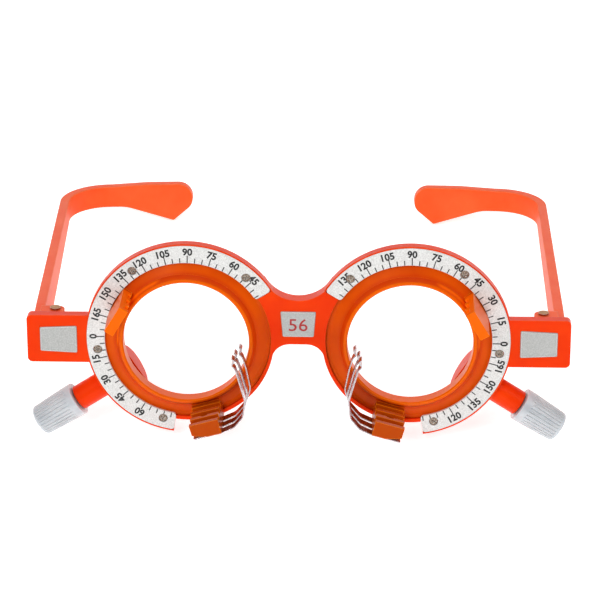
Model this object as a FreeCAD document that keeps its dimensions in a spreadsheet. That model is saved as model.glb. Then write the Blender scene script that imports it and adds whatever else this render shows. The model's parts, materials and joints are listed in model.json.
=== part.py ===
"""A fixed-distance optician's trial frame: front, two turning lens cells with gear drives, two temples.

Millimetres. Every piece is modelled in the frame of the front: X to the right as seen from the front,
Y from the dial plates' front faces towards the wearer, Z up, origin midway between the pupils.
The resting pose then stands the whole object on its knobs and temple tips.
"""
import FreeCAD, Part
import math
import os

import Sketcher
from FreeCAD import Placement, Rotation, Vector

SIZES = {
    "pupil_distance": (56.0, "between the centres of the two lens cells"),
    "running_gap": (0.1, "radial clearance of a cell in its seat, and axial play"),
    "shaft_gap": (0.05, "radial clearance of shafts and pins that turn"),
    "seat_gap": (0.05, "clearance round a glued or pressed piece"),
    "free_gap": (0.3, "between faces of moving pieces that never touch"),
    # lens cell
    "bore_radius": (15.75, "clear opening of a lens cell"),
    "barrel_wall": (1.85, "wall round the clear opening"),
    "gear_gap": (1.1, "radial room between the barrel and the gear teeth"),
    "tooth_face": (1.6, "radial length of the gear teeth"),
    "band_gap": (0.3, "between the teeth and the band that runs on the seat"),
    "band_width": (0.45, "radial width of the running band"),
    "cell_depth": (2.0, "back end of the clear opening"),
    "lip_front": (1.8, "the cell's inner edge in front of the dial plates"),
    "lip_width_front": (0.9, "width of the cell's raised inner edge"),
    "web_thickness": (0.6, "flange behind the dial plate"),
    "edge_chamfer": (0.35, "chamfer of the cell's inner edge"),
    # dial plate
    "plate_overlap": (0.55, "plate over the cell's flange"),
    "plate_width": (4.5, "radial width of the dial plate"),
    "plate_thickness": (0.7, "dial plate"),
    "plate_start": (32.0, "angle of the plate's nasal end"),
    "plate_sweep": (230.0, "angle that the plate covers"),
    "plate_corner": (0.8, "corner radius of the plate's ends"),
    "screw_circle_offset": (2.0, "dial screws, outwards from the plate's inner edge"),
    "dial_hole_radius": (1.15, "hole of the plate round a screw head"),
    "dial_head_radius": (1.0, "head of a dial screw"),
    "dial_head_height": (0.8, "height of a dial screw's head"),
    "dial_head_sink": (0.25, "head below the plate's face"),
    "dial_shank_radius": (0.55, "shank of a dial screw"),
    "recess_depth": (0.3, "cross recess of the screws"),
    "recess_reach": (0.62, "arm of the cross recess, times the head's radius"),
    "recess_half": (0.16, "half the width of that arm, times the head's radius"),
    "screw_room": (0.2, "beyond the tip of a screw"),
    "screw_floor": (0.4, "plastic left behind the room of a dial screw"),
    # rims
    "lip_width": (0.4, "rim outside the dial plate"),
    "low_wall": (0.85, "wall of the rim where it has no dial plate"),
    "rim_depth": (4.1, "back face of the rims"),
    "rim_step": (2.6, "depth of the rims' full radius"),
    "rim_back_step": (1.4, "step of the rims' radius behind that"),
    "rear_opening": (18.2, "radius of the opening in the wall behind the cell"),
    "rear_wall": (1.2, "wall behind the cell"),
    "bridge_depth": (4.0, "thickness of the bridge"),
    # bridge
    "bridge_top": (10.7, "lowest point of the bridge's top edge"),
    "bridge_top_radius": (9.5, "curve of the bridge's top edge"),
    "arch_top": (-1.0, "top of the nose arch"),
    "arch_half": (5.6, "half the width of the arch at its top"),
    "arch_flare": (4.7, "how much each side of the arch runs outwards"),
    "arch_drop": (17.0, "depth of the arch cut"),
    "arch_corner": (4.6, "corner radius of the arch"),
    # badges
    "badge_thickness": (0.5, "badge plates"),
    "badge_proud": (0.05, "badge face in front of the frame"),
    "badge_corner": (0.35, "corner radius of the badges"),
    "bridge_badge_margin": (2.45, "bridge badge from the cell seats"),
    "bridge_badge_taper": (0.55, "narrowing of the bridge badge towards its bottom, each side"),
    "bridge_badge_bottom": (1.1, "bottom edge of the bridge badge"),
    "bridge_badge_height": (6.7, "height of the bridge badge"),
    # lugs and hinges
    "lug_length": (14.6, "lug outside the rim"),
    "lug_bottom": (-6.5, "bottom edge of the lugs"),
    "lug_height": (12.6, "height of the lugs"),
    "lug_depth": (2.8, "thickness of the lugs"),
    "lug_corner": (1.2, "corner radius of the lugs"),
    "lug_badge_inset": (3.3, "badge from the lug's outer end"),
    "lug_badge_length": (9.2, "length of a lug badge"),
    "lug_badge_inner": (7.2, "height of a lug badge at its nasal end"),
    "lug_badge_taper": (0.45, "narrowing of a lug badge towards its outer end, each side"),
    "lug_badge_middle": (-0.3, "mid height of the lug badges"),
    "hinge_inset": (6.7, "hinge pin from the lug's outer end"),
    "ear_radius": (2.3, "round end of the temple's ears"),
    "ear_thickness": (1.2, "each ear of the temple"),
    "knuckle_share": (0.9, "radius of the frame's knuckle, times that of the temple's ears"),
    "knuckle_half": (4.45, "half height of the knuckle between the ears"),
    "hinge_gap": (0.2, "between the knuckle and the ears"),
    "pin_radius": (0.8, "hinge pin"),
    "pin_head_radius": (1.3, "head of the hinge pin"),
    "pin_head_height": (0.4, "head of the hinge pin"),
    "right_turn": (2.2, "how far the right temple stands folded inwards"),
    # temples
    "temple_inset": (1.5, "temple's outer face from the lug's outer end"),
    "temple_thickness": (2.5, "thickness of the temples"),
    "temple_length": (110.0, "outer face of the curled end behind the dial plates"),
    "temple_flare": (4.3, "how far the temple runs outwards"),
    "temple_droop": (1.3, "how far the temple drops at its bend"),
    "tip_skew": (2.5, "how far the tip runs backwards"),
    "temple_bend": (11.5, "inner radius of the bend"),
    "tip_reach": (32.7, "outer face to the end of the tip"),
    "root_half": (5.0, "half height of the temple at the hinge"),
    "bend_half": (3.0, "half height of the temple at the bend"),
    "tip_top": (3.6, "top of the paddle above the temple's mid height"),
    "tip_drop": (7.3, "lowest point of the paddle under the temple's mid height"),
    "tip_round": (4.6, "corner radius of the paddle"),
    # drive
    "gear_module": (0.5, "size of the gear teeth"),
    "pinion_teeth": (8.0, "teeth of the pinion"),
    "ring_root": (0.6, "depth of the cell's teeth under the pitch plane"),
    "ring_tip": (0.34, "height of the cell's teeth over the pitch plane"),
    "ring_thinning": (0.14, "backlash taken from each tooth of the cell"),
    "pinion_root": (0.5, "depth of the pinion's teeth under the pitch circle"),
    "pinion_tip": (0.45, "height of the pinion's teeth over the pitch circle"),
    "pinion_thinning": (0.14, "backlash taken from each tooth of the pinion"),
    "pressure_angle": (25.0, "flank angle of the teeth"),
    "knob_drop": (33.0, "angle of the knob's axis under the horizontal"),
    "shaft_radius": (0.95, "knob shaft"),
    "tube_radius": (3.2, "tube round the knob shaft"),
    "tube_length": (7.6, "tube outside the rim"),
    "knob_gap": (0.4, "between the tube and the knob"),
    "knob_length": (11.9, "length of the knob"),
    "knob_collar": (2.0, "smooth collar of the knob"),
    "knob_inner_radius": (4.35, "knob radius at the tube"),
    "knob_outer_radius": (3.9, "knob radius at its outer end"),
    "knob_round": (0.9, "rounding of the knob's outer end"),
    "knob_grooves": (28.0, "grooves round the knob"),
    "groove_width": (0.32, "width of a knob groove"),
    "groove_depth": (0.22, "depth of a knob groove"),
    "shaft_grip": (7.0, "shaft inside the knob"),
    # gear cover
    "cover_radius": (5.65, "outer radius of the round gear cover"),
    "cover_step": (0.2, "inner end of the gear cover from the clear opening"),
    "cover_wall": (1.6, "end wall of the gear cover"),
    "cover_screw_offset": (4.0, "cover screws beside the knob's axis"),
    "cover_screw_inset": (2.5, "cover screws from the rim's outside, along the knob's axis"),
    "cover_land": (2.0, "cover left under a screw head"),
    "cover_head_radius": (1.0, "head of a cover screw"),
    "cover_head_height": (0.8, "head of a cover screw"),
    "cover_shank_radius": (0.5, "shank of a cover screw"),
    "cover_shank_length": (3.8, "shank of a cover screw"),
    # lens guides
    "guide_width": (7.4, "width of a lens guide along the rim"),
    "guide_step": (0.15, "inner side of the lens guides from the barrel"),
    "guide_foot_gap": (0.4, "guide feet from the dial plate's inner edge"),
    "guide_overhang": (0.55, "outer side of the lower guide from the cell's flange"),
    "upper_guide_gap": (0.3, "outer side of the upper guide from the dial plate's inner edge"),
    "low_guide_angle": (285.5, "place of the lower guide"),
    "upper_guide_angle": (149.0, "place of the upper guide"),
    "lens_slots": (3.0, "lens slots of a cell"),
    "slot_pitch": (3.6, "from one lens slot to the next"),
    "slot_width": (2.2, "width of a lens slot"),
    "slot_front": (2.0, "first lens slot in front of the dial plate"),
    "slot_depth": (1.55, "floor of a lens slot from the barrel"),
    "guide_relief": (1.45, "slope cut from the lower guide behind the spring"),
    # lens spring
    "spring_thickness": (0.3, "sheet of the lens spring"),
    "spring_width": (10.2, "width of the lens spring"),
    "tine_gap": (0.95, "slot between two tines"),
    "spring_front": (2.1, "first tine in front of the dial plate"),
    "spring_angle": (14.0, "how far the spring opens"),
    "rivet_radius": (0.75, "shank of the spring's rivet"),
    "rivet_hole_radius": (1.25, "hole of the lower guide round the rivet"),
    "rivet_head_radius": (1.4, "head of the rivet"),
    "rivet_head_height": (0.4, "head of the rivet"),
    "rivet_length": (1.9, "shank of the rivet inside the guide"),
    # nose pads
    "pad_reach": (4.6, "nose pads behind the rims"),
    "pad_width": (2.2, "thickness of the nose pads"),
    "pad_height": (8.0, "height of the nose pads"),
    "pad_angle": (325.0, "place of the nose pads on the rim"),
}

doc = FreeCAD.newDocument("trial_frame")
sheet = doc.addObject("Spreadsheet::Sheet", "sizes")
for row, (alias, (number, meaning)) in enumerate(SIZES.items(), 1):
    sheet.set(f"A{row}", alias)
    sheet.set(f"B{row}", str(number))
    sheet.set(f"C{row}", meaning)
    sheet.setAlias(f"B{row}", alias)
doc.recompute()


class Size:
    """A formula on the sheet's cells: it adds up as text, and float() gives its value now."""

    def __init__(self, text):
        self.text = str(text)

    def __float__(self):
        return float(sheet.evalExpression(self.text))

    def _join(self, sign, other, swap=False):
        parts = (as_text(other), self.text) if swap else (self.text, as_text(other))
        return Size(f"({parts[0]} {sign} {parts[1]})")

    def __add__(self, other):
        return self._join("+", other)

    def __radd__(self, other):
        return self._join("+", other, True)

    def __sub__(self, other):
        return self._join("-", other)

    def __rsub__(self, other):
        return self._join("-", other, True)

    def __mul__(self, other):
        return self._join("*", other)

    def __rmul__(self, other):
        return self._join("*", other, True)

    def __truediv__(self, other):
        return self._join("/", other)

    def __neg__(self):
        return Size(f"(0 - {self.text})")


def as_text(value):
    return value.text if isinstance(value, Size) else repr(float(value))


def size(alias):
    return Size(f"sizes.{alias}")


def cos(angle):
    return Size(f"cos({as_text(angle)})")


def sin(angle):
    return Size(f"sin({as_text(angle)})")


def count(alias):
    return round(float(size(alias)))


# ---------------------------------------------------------------- sizes that follow from the sheet
HALF_PD = size("pupil_distance") / 2
BARREL = size("bore_radius") + size("barrel_wall")
TOOTH_INNER = BARREL + size("gear_gap")
TOOTH_OUTER = TOOTH_INNER + size("tooth_face")
BAND_INNER = TOOTH_OUTER + size("band_gap")
FLANGE = BAND_INNER + size("band_width")
SEAT = FLANGE + size("running_gap")
PLATE_INNER = FLANGE - size("plate_overlap")
PLATE_OUTER = PLATE_INNER + size("plate_width")
RIM_OUTER = PLATE_OUTER + size("lip_width")
RIM_LOW = SEAT + size("low_wall")
FLANGE_FRONT = size("plate_thickness") + size("running_gap")
WEB_BACK = FLANGE_FRONT + size("web_thickness")
REAR_WALL_FRONT = size("rim_depth") - size("rear_wall")
PINION_PITCH = size("gear_module") * size("pinion_teeth") / 2
PITCH_PLANE = WEB_BACK + size("ring_root")
SHAFT_Y = PITCH_PLANE + PINION_PITCH
PINION_TIP = PINION_PITCH + size("pinion_tip")
LUG_END = HALF_PD + RIM_OUTER + size("lug_length")
HINGE_X = LUG_END - size("hinge_inset")
HINGE_Y = size("lug_depth") + size("free_gap") + size("ear_radius")
MID_Z = size("lug_bottom") + size("lug_height") / 2
TUBE_END = RIM_OUTER + size("tube_length")
KNOB_START = TUBE_END + size("knob_gap")
KNOB_END = KNOB_START + size("knob_length")
SCREW_CIRCLE = PLATE_INNER + size("screw_circle_offset")
PLATE_END = size("plate_start") + size("plate_sweep")
GUIDE_FRONT = size("slot_front") + size("slot_pitch") * size("lens_slots")
GUIDE_INNER = BARREL + size("guide_step")
GUIDE_FOOT = PLATE_INNER - size("guide_foot_gap")
GUIDE_OUTER = FLANGE + size("guide_overhang")
UPPER_GUIDE_OUTER = PLATE_INNER - size("upper_guide_gap")
LENS_SEAT = BARREL + size("slot_depth")
COVER_START = size("bore_radius") + size("cover_step")
COVER_SCREW_REACH = RIM_OUTER - size("cover_screw_inset")
LUG_BADGE_OUTER = LUG_END - size("lug_badge_inset")
DIAL_SCREW_ANGLES = (48.0, 126.0, 187.5, 254.0)

RING_TEETH = round(2 * float(TOOTH_INNER + size("tooth_face") / 2) / float(size("gear_module")))


def polar(radius, angle):
    """The X and Z of a point at a radius and an angle, anticlockwise as seen from the front."""
    return radius * cos(angle), radius * sin(angle)


def facing_back(angle=0.0):
    """Turns +Z to +Y, and +X to the angle seen from the front."""
    return Rotation(Vector(0, 1, 0), -float(angle)).multiply(Rotation(Vector(1, 0, 0), -90))


def cell_turn():
    """Turns +X to the left knob's outward direction and keeps +Y."""
    return Rotation(Vector(0, 1, 0), 180 - float(size("knob_drop")))


def spot(x, y, z):
    return Vector(float(x), float(y), float(z))


def cell_place():
    """The frame of the left cell: X out along the knob's axis, Y back, origin at the cell's centre."""
    return Placement(spot(-HALF_PD, 0, 0), cell_turn())


# ---------------------------------------------------------------- helpers for features
def add(kind, name, **properties):
    """A feature whose properties are bound to the sheet."""
    feature = doc.addObject(kind, name)
    for key, value in properties.items():
        feature.setExpression(key, as_text(value))
    return feature


def put(feature, x, y, z, rotation=Rotation()):
    """Places a feature; its three coordinates stay bound to the sheet."""
    feature.Placement = Placement(spot(x, y, z), rotation)
    for letter, value in zip("xyz", (x, y, z)):
        feature.setExpression(f"Placement.Base.{letter}", as_text(value))
    return feature


def cylinder(name, radius, length, x, y, z, rotation, angle=None):
    feature = add("Part::Cylinder", name, Radius=radius, Height=length)
    if angle is not None:
        feature.setExpression("Angle", as_text(angle))
    return put(feature, x, y, z, rotation)


def box(name, low, high):
    feature = add("Part::Box", name, Length=high[0] - low[0], Width=high[1] - low[1],
                  Height=high[2] - low[2])
    return put(feature, *low)


def fuse(name, pieces):
    feature = doc.addObject("Part::MultiFuse", name)
    feature.Shapes = pieces
    feature.Refine = True
    return feature


def cut(name, base, tool):
    feature = doc.addObject("Part::Cut", name)
    feature.Base = base
    feature.Tool = tool
    return feature


def mirrored(feature, name):
    """The same piece on the other side of the nose."""
    copy = doc.addObject("Part::Mirroring", name)
    copy.Source = feature
    copy.Normal = Vector(1, 0, 0)
    return copy


def sketch_on(body, role, offset=None):
    """A sketch on one of the body's own origin planes."""
    plane = next(o for o in body.Origin.OriginFeatures if o.Role == role)
    sketch = body.newObject("Sketcher::SketchObject", body.Name + "_sketch")
    sketch.AttachmentSupport = [(plane, "")]
    sketch.MapMode = "FlatFace"
    if offset is not None:
        sketch.setExpression("AttachmentOffset.Base.z", as_text(offset))
    return sketch


def hold(sketch, geometry, place, corner):
    """Binds the X and Y of one point of a sketch to the sheet."""
    for kind, axis, value in (("DistanceX", -2, corner[0]), ("DistanceY", -1, corner[1])):
        if abs(float(value)) < 1e-9:
            sketch.addConstraint(Sketcher.Constraint("PointOnObject", geometry, place, axis))
            continue
        index = sketch.addConstraint(
            Sketcher.Constraint(kind, -1, 1, geometry, place, float(value)))
        sketch.setExpression(f"Constraints[{index}]", as_text(value))


def outline(sketch, corners, radii=None):
    """A closed outline through bound corners; a corner with a radius is rounded by a tangent arc."""
    total = len(corners)
    radii = radii or [None] * total
    points = [spot(x, y, 0) for x, y in corners]
    trims = []
    for i, radius in enumerate(radii):
        before = (points[i - 1] - points[i]).normalize()
        after = (points[(i + 1) % total] - points[i]).normalize()
        if radius is None:
            trims.append((points[i], points[i], None))
            continue
        half = before.getAngle(after) / 2
        reach = float(radius) / math.tan(half)
        middle = points[i] + (before + after).normalize() * (float(radius) / math.sin(half))
        trims.append((points[i] + before * reach, points[i] + after * reach, middle))
    lines = [sketch.addGeometry(Part.LineSegment(trims[i][1], trims[(i + 1) % total][0]), False)
             for i in range(total)]
    for i, radius in enumerate(radii):
        incoming, outgoing = lines[i - 1], lines[i]
        if radius is None:
            sketch.addConstraint(Sketcher.Constraint("Coincident", incoming, 2, outgoing, 1))
            hold(sketch, outgoing, 1, corners[i])
            continue
        point = sketch.addGeometry(Part.Point(points[i]), True)
        hold(sketch, point, 1, corners[i])
        sketch.addConstraint(Sketcher.Constraint("PointOnObject", point, 1, incoming))
        sketch.addConstraint(Sketcher.Constraint("PointOnObject", point, 1, outgoing))
        start, end, middle = trims[i]
        clockwise = (start - middle).cross(end - middle).z < 0
        low, high = (end, start) if clockwise else (start, end)
        angles = [math.atan2(point.y - middle.y, point.x - middle.x) for point in (low, high)]
        full = Part.Circle(middle, Vector(0, 0, 1), float(radius))
        arc = sketch.addGeometry(Part.ArcOfCircle(full, *angles), False)
        first, second = (2, 1) if clockwise else (1, 2)
        sketch.addConstraint(Sketcher.Constraint("Tangent", incoming, 2, arc, first))
        sketch.addConstraint(Sketcher.Constraint("Tangent", arc, second, outgoing, 1))
        index = sketch.addConstraint(Sketcher.Constraint("Radius", arc, float(radius)))
        sketch.setExpression(f"Constraints[{index}]", as_text(radius))


def circle(sketch, centre, radius):
    index = sketch.addGeometry(Part.Circle(spot(*centre, 0), Vector(0, 0, 1), float(radius)), False)
    hold(sketch, index, 3, centre)
    bound = sketch.addConstraint(Sketcher.Constraint("Radius", index, float(radius)))
    sketch.setExpression(f"Constraints[{bound}]", as_text(radius))


def feature_of(body, kind, sketch, **properties):
    """A PartDesign feature on a sketch, with bound sizes and plain switches."""
    feature = body.newObject(f"PartDesign::{kind}", f"{body.Name}_{kind}")
    feature.Profile = sketch
    for key, value in properties.items():
        if isinstance(value, Size):
            feature.setExpression(key, value.text)
        else:
            setattr(feature, key, value)
    sketch.Visibility = False
    return feature


def pad(body, role, corners, length, offset=None, back=False, radii=None):
    sketch = sketch_on(body, role, offset)
    outline(sketch, corners, radii)
    return feature_of(body, "Pad", sketch, Length=length, Reversed=back)


def pocket(body, role, corners, length, offset=None, back=False, radii=None):
    sketch = sketch_on(body, role, offset)
    outline(sketch, corners, radii)
    return feature_of(body, "Pocket", sketch, Length=length, Reversed=back)


def origin_axis(body, role):
    return next(o for o in body.Origin.OriginFeatures if o.Role == role)


def revolve(body, role, corners, axis, kind="Revolution", radii=None, **properties):
    sketch = sketch_on(body, role)
    outline(sketch, corners, radii)
    feature = feature_of(body, kind, sketch, **properties)
    feature.ReferenceAxis = (origin_axis(body, axis), [""])
    return feature


def around(body, features, axis, copies):
    """Repeats features evenly round one of the body's axes."""
    pattern = body.newObject("PartDesign::PolarPattern", f"{body.Name}_pattern")
    pattern.Originals = features
    pattern.Axis = (origin_axis(body, axis), [""])
    pattern.Angle = 360
    pattern.Occurrences = copies
    body.Tip = pattern
    return pattern


def new_body(name):
    return doc.addObject("PartDesign::Body", name)


# ---------------------------------------------------------------- front frame
def arch_corners():
    """The nose arch: a flared opening with rounded top corners."""
    top, bottom = size("arch_top"), size("arch_top") - size("arch_drop")
    half = size("arch_half")
    wide = half + size("arch_flare")
    return [(-wide, bottom), (-half, top), (half, top), (wide, bottom)]


def bridge_body():
    """The bridge, from rim to rim, with a hollow top edge and the nose arch under it."""
    body = new_body("bridge_blank")
    half = HALF_PD - SEAT * 0.82
    low, high = -RIM_OUTER * 0.32, RIM_OUTER * 0.62
    pad(body, "XZ_Plane", [(-half, low), (half, low), (half, high), (-half, high)],
        size("bridge_depth"), back=True)
    sketch = sketch_on(body, "XZ_Plane")
    radius = size("bridge_top_radius")
    circle(sketch, (Size("0"), size("bridge_top") + radius), radius)
    feature_of(body, "Pocket", sketch, Length=size("bridge_depth"), Reversed=False, Midplane=True,
               Type="ThroughAll")
    sketch = sketch_on(body, "XZ_Plane")
    corner = size("arch_corner")
    outline(sketch, arch_corners(), [None, corner, corner, None])
    feature_of(body, "Pocket", sketch, Midplane=True, Type="ThroughAll")
    return body


def lug_body():
    """The left lug: a rounded plate outside the rim."""
    body = new_body("lug_blank")
    inner, outer = -(HALF_PD + SEAT + size("low_wall")), -LUG_END
    low = size("lug_bottom")
    high = low + size("lug_height")
    corner = size("lug_corner")
    pad(body, "XZ_Plane", [(outer, low), (inner, low), (inner, high), (outer, high)],
        size("lug_depth"), back=True, radii=[corner, None, None, corner])
    return body


def knob_line(name, radius, start, end):
    """A cylinder on the axis of the left knob, between two distances from the cell's centre."""
    drop = size("knob_drop")
    x = -HALF_PD - start * cos(drop)
    z = -start * sin(drop)
    turn = cell_turn().multiply(Rotation(Vector(0, 1, 0), 90))
    return cylinder(name, radius, end - start, x, SHAFT_Y, z, turn)


def frame_half():
    """Solids of the left half of the front frame."""
    depth = size("rim_depth")
    low_rim = cylinder("low_rim", RIM_LOW, depth, -HALF_PD, Size("0"), Size("0"), facing_back())
    high_rim = cylinder("high_rim", RIM_OUTER, size("rim_step"), -HALF_PD, Size("0"), Size("0"),
                        facing_back(PLATE_END), size("plate_sweep"))
    back_rim = cylinder("back_rim", RIM_OUTER - size("rim_back_step"), depth, -HALF_PD, Size("0"), Size("0"),
                        facing_back(PLATE_END), size("plate_sweep"))
    tube = knob_line("knob_tube", size("tube_radius"), SEAT + size("low_wall"), TUBE_END)
    reach, half = size("ear_radius") * size("knuckle_share"), size("knuckle_half")
    knuckle_low = (-HINGE_X - reach, size("lug_depth") / 2, MID_Z - half)
    knuckle_high = (-HINGE_X + reach, HINGE_Y, MID_Z + half)
    knuckle = box("knuckle_block", knuckle_low, knuckle_high)
    barrel = cylinder("knuckle_barrel", reach, half * 2, -HINGE_X, HINGE_Y, MID_Z - half, Rotation())
    return [low_rim, high_rim, back_rim, lug_body(), tube, knuckle, barrel, nose_pad()]


def nose_pad():
    """The left nose pad: a rounded fin behind the nasal side of the rim."""
    body = new_body("nose_pad_blank")
    x, z = polar(RIM_LOW - size("pad_width") / 2, size("pad_angle"))
    half_w, half_h = size("pad_width") / 2, size("pad_height") / 2
    lean = size("pad_angle") - 360
    corners = []
    for across, along in ((-1, -1), (1, -1), (1, 1), (-1, 1)):
        dx = half_w * across * cos(lean) - half_h * along * sin(lean)
        dz = half_w * across * sin(lean) + half_h * along * cos(lean)
        corners.append((x - HALF_PD + dx, z + dz))
    corner = size("pad_width") * 0.45
    pad(body, "XZ_Plane", corners, size("pad_reach") + size("rear_wall"),
        offset=-REAR_WALL_FRONT, back=True, radii=[corner] * 4)
    return body


def frame_half_cuts():
    """Tools that open the left half of the front frame."""
    y0 = Size("0") - size("free_gap")
    here = (-HALF_PD, y0, Size("0"))
    seat = cylinder("cell_seat", SEAT, REAR_WALL_FRONT - y0, *here, facing_back())
    through = cylinder("cell_opening", size("rear_opening"), size("rim_depth") * 2 - y0,
                       *here, facing_back())
    plate = cylinder("plate_seat", PLATE_OUTER + size("seat_gap"), size("plate_thickness") - y0,
                     *here, facing_back(PLATE_END + 0.3), size("plate_sweep") + 0.6)
    gear = knob_line("pinion_room", PINION_TIP + size("free_gap"), TOOTH_INNER - size("free_gap"),
                     TOOTH_OUTER + size("free_gap"))
    bore = knob_line("shaft_bore", size("shaft_radius") + size("shaft_gap"), TOOTH_OUTER,
                     TUBE_END + size("free_gap"))
    pin = cylinder("pin_bore", size("pin_radius") + size("seat_gap") / 5, size("lug_height"),
                   -HINGE_X, HINGE_Y, size("lug_bottom"), Rotation())
    tools = [seat, through, plate, gear, bore, pin, lug_badge_room()]
    for index, angle in enumerate(DIAL_SCREW_ANGLES):
        x, z = polar(SCREW_CIRCLE, Size(angle))
        sink = size("dial_head_sink") + size("dial_head_height")
        tools.append(cylinder(f"dial_head_room_{index}", size("dial_head_radius") + size("seat_gap"),
                              sink - y0, x - HALF_PD, y0, z, facing_back()))
        tools.append(cylinder(f"dial_shank_room_{index}", size("dial_shank_radius") + size("seat_gap") / 5,
                              size("rim_depth") - size("screw_floor") - y0,
                              x - HALF_PD, y0, z, facing_back()))
    for index, side in enumerate((-1, 1)):
        x, z = cover_screw_spot(side)
        tools.append(cylinder(f"cover_shank_room_{index}", size("cover_shank_radius") + size("seat_gap") / 5,
                              size("cover_shank_length"), x, cover_seat_y() - size("cover_shank_length"),
                              z, facing_back()))
    return tools


def cover_seat_y():
    """Where the heads of the cover screws rest."""
    return size("rim_depth") + size("cover_land")


def cover_screw_spot(side):
    """X and Z of a cover screw of the left gear."""
    drop = size("knob_drop")
    reach, offset = COVER_SCREW_REACH, size("cover_screw_offset") * side
    x = -HALF_PD - reach * cos(drop) + offset * sin(drop)
    z = -reach * sin(drop) - offset * cos(drop)
    return x, z


def lug_badge_corners(gap):
    """Outline of the left lug badge, grown by a gap."""
    outer = -LUG_BADGE_OUTER - gap
    inner = outer + size("lug_badge_length") + gap * 2
    middle = size("lug_badge_middle")
    tall = size("lug_badge_inner") / 2 + gap
    short = tall - size("lug_badge_taper")
    return [(outer, middle - short), (inner, middle - tall), (inner, middle + tall), (outer, middle + short)]


def lug_badge_room():
    body = new_body("lug_badge_room")
    pad(body, "XZ_Plane", lug_badge_corners(size("seat_gap")), size("badge_thickness") - size("badge_proud"),
        back=True, radii=[size("badge_corner")] * 4)
    return body


def bridge_badge_corners(gap):
    """Outline of the bridge badge, grown by a gap."""
    top_half = HALF_PD - SEAT - size("bridge_badge_margin") + gap
    low_half = top_half - size("bridge_badge_taper")
    low = size("bridge_badge_bottom") - gap
    high = low + size("bridge_badge_height") + gap * 2
    return [(-low_half, low), (low_half, low), (top_half, high), (-top_half, high)]


def bridge_badge_room():
    body = new_body("bridge_badge_room")
    pad(body, "XZ_Plane", bridge_badge_corners(size("seat_gap")),
        size("badge_thickness") - size("badge_proud"), back=True, radii=[size("badge_corner")] * 4)
    return body


def front_frame():
    half = fuse("left_half", frame_half())
    blank = fuse("frame_blank", [half, mirrored(half, "right_half"), bridge_body()])
    half_cuts = fuse("left_cuts", frame_half_cuts())
    cuts = fuse("frame_cuts", [half_cuts, mirrored(half_cuts, "right_cuts"), bridge_badge_room()])
    return cut("front_frame", blank, cuts)


# ---------------------------------------------------------------- plates, badges and screws
def badge(name, corners):
    body = new_body(name)
    pad(body, "XZ_Plane", corners, size("badge_thickness"), offset=size("badge_proud"), back=True,
        radii=[size("badge_corner")] * 4)
    return body


def dial_plate():
    """A sector of a flat ring with rounded ends and four screw holes."""
    body = new_body("left_dial_plate")
    middle = size("plate_start") + size("plate_sweep") / 2
    face, back = Size("0"), size("plate_thickness")
    revolve(body, "XY_Plane",
            [(PLATE_INNER, face), (PLATE_OUTER, face), (PLATE_OUTER, back), (PLATE_INNER, back)],
            "Y_Axis", Angle=size("plate_sweep"), Midplane=True)
    for angle in DIAL_SCREW_ANGLES:
        sketch = sketch_on(body, "XZ_Plane")
        circle(sketch, polar(SCREW_CIRCLE, Size(angle) - middle), size("dial_hole_radius"))
        feature_of(body, "Pocket", sketch, Midplane=True, Type="ThroughAll")
    doc.recompute()
    flat = body.Tip
    ends = [f"Edge{i}" for i, edge in enumerate(flat.Shape.Edges, 1) if is_plate_corner(edge)]
    fillet = body.newObject("PartDesign::Fillet", "left_dial_plate_Fillet")
    fillet.Base = (flat, ends)
    fillet.setExpression("Radius", size("plate_corner").text)
    body.Placement = Placement(spot(-HALF_PD, 0, 0), Rotation(Vector(0, 1, 0), -float(middle)))
    return body


def is_plate_corner(edge):
    """Whether an edge of the dial plate is one of the four short corners of its ends."""
    points = [vertex.Point for vertex in edge.Vertexes]
    if len(points) != 2 or abs(abs(points[0].y - points[1].y) - edge.Length) > 1e-6:
        return False
    reach = math.hypot(points[0].x, points[0].z)
    return min(abs(reach - float(PLATE_INNER)), abs(reach - float(PLATE_OUTER))) < 1e-4


def screw(name, head_radius, head_height, shank_radius, shank_length, turned=False):
    """A cross-head screw along +Y from the top of its head; turned, it points to -Y."""
    body = new_body(name)
    zero = Size("0")
    sign = Size("-1") if turned else Size("1")
    revolve(body, "XY_Plane", [(zero, zero), (head_radius, zero), (head_radius, head_height * sign),
                               (shank_radius, head_height * sign),
                               (shank_radius, (head_height + shank_length) * sign),
                               (zero, (head_height + shank_length) * sign)],
            "Y_Axis", Angle=Size("360"))
    arm, thin = head_radius * size("recess_reach"), head_radius * size("recess_half")
    for half_x, half_z in ((arm, thin), (thin, arm)):
        corners = [(-half_x, -half_z), (half_x, -half_z), (half_x, half_z), (-half_x, half_z)]
        pocket(body, "XZ_Plane", corners, size("recess_depth"), back=turned)
    return body


def group(name, pieces):
    compound = doc.addObject("Part::Compound", name)
    compound.Links = pieces
    return compound


def dial_screws():
    pieces = []
    for index, angle in enumerate(DIAL_SCREW_ANGLES):
        tip = size("rim_depth") - size("screw_floor") - size("screw_room")
        length = tip - size("dial_head_sink") - size("dial_head_height")
        piece = screw(f"dial_screw_{index}", size("dial_head_radius"), size("dial_head_height"),
                      size("dial_shank_radius"), length)
        x, z = polar(SCREW_CIRCLE, Size(angle))
        put(piece, x - HALF_PD, size("dial_head_sink"), z, Rotation(Vector(0, 1, 0), 23.0 * index + 10))
        pieces.append(piece)
    return group("left_dial_screws", pieces)


def cover_screws():
    pieces = []
    for index, side in enumerate((-1, 1)):
        piece = screw(f"cover_screw_{index}", size("cover_head_radius"), size("cover_head_height"),
                      size("cover_shank_radius"), size("cover_shank_length") - size("free_gap"), turned=True)
        x, z = cover_screw_spot(side)
        put(piece, x, cover_seat_y() + size("cover_head_height"), z, Rotation(Vector(0, 1, 0), 20.0 * index))
        pieces.append(piece)
    return group("left_cover_screws", pieces)


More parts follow.
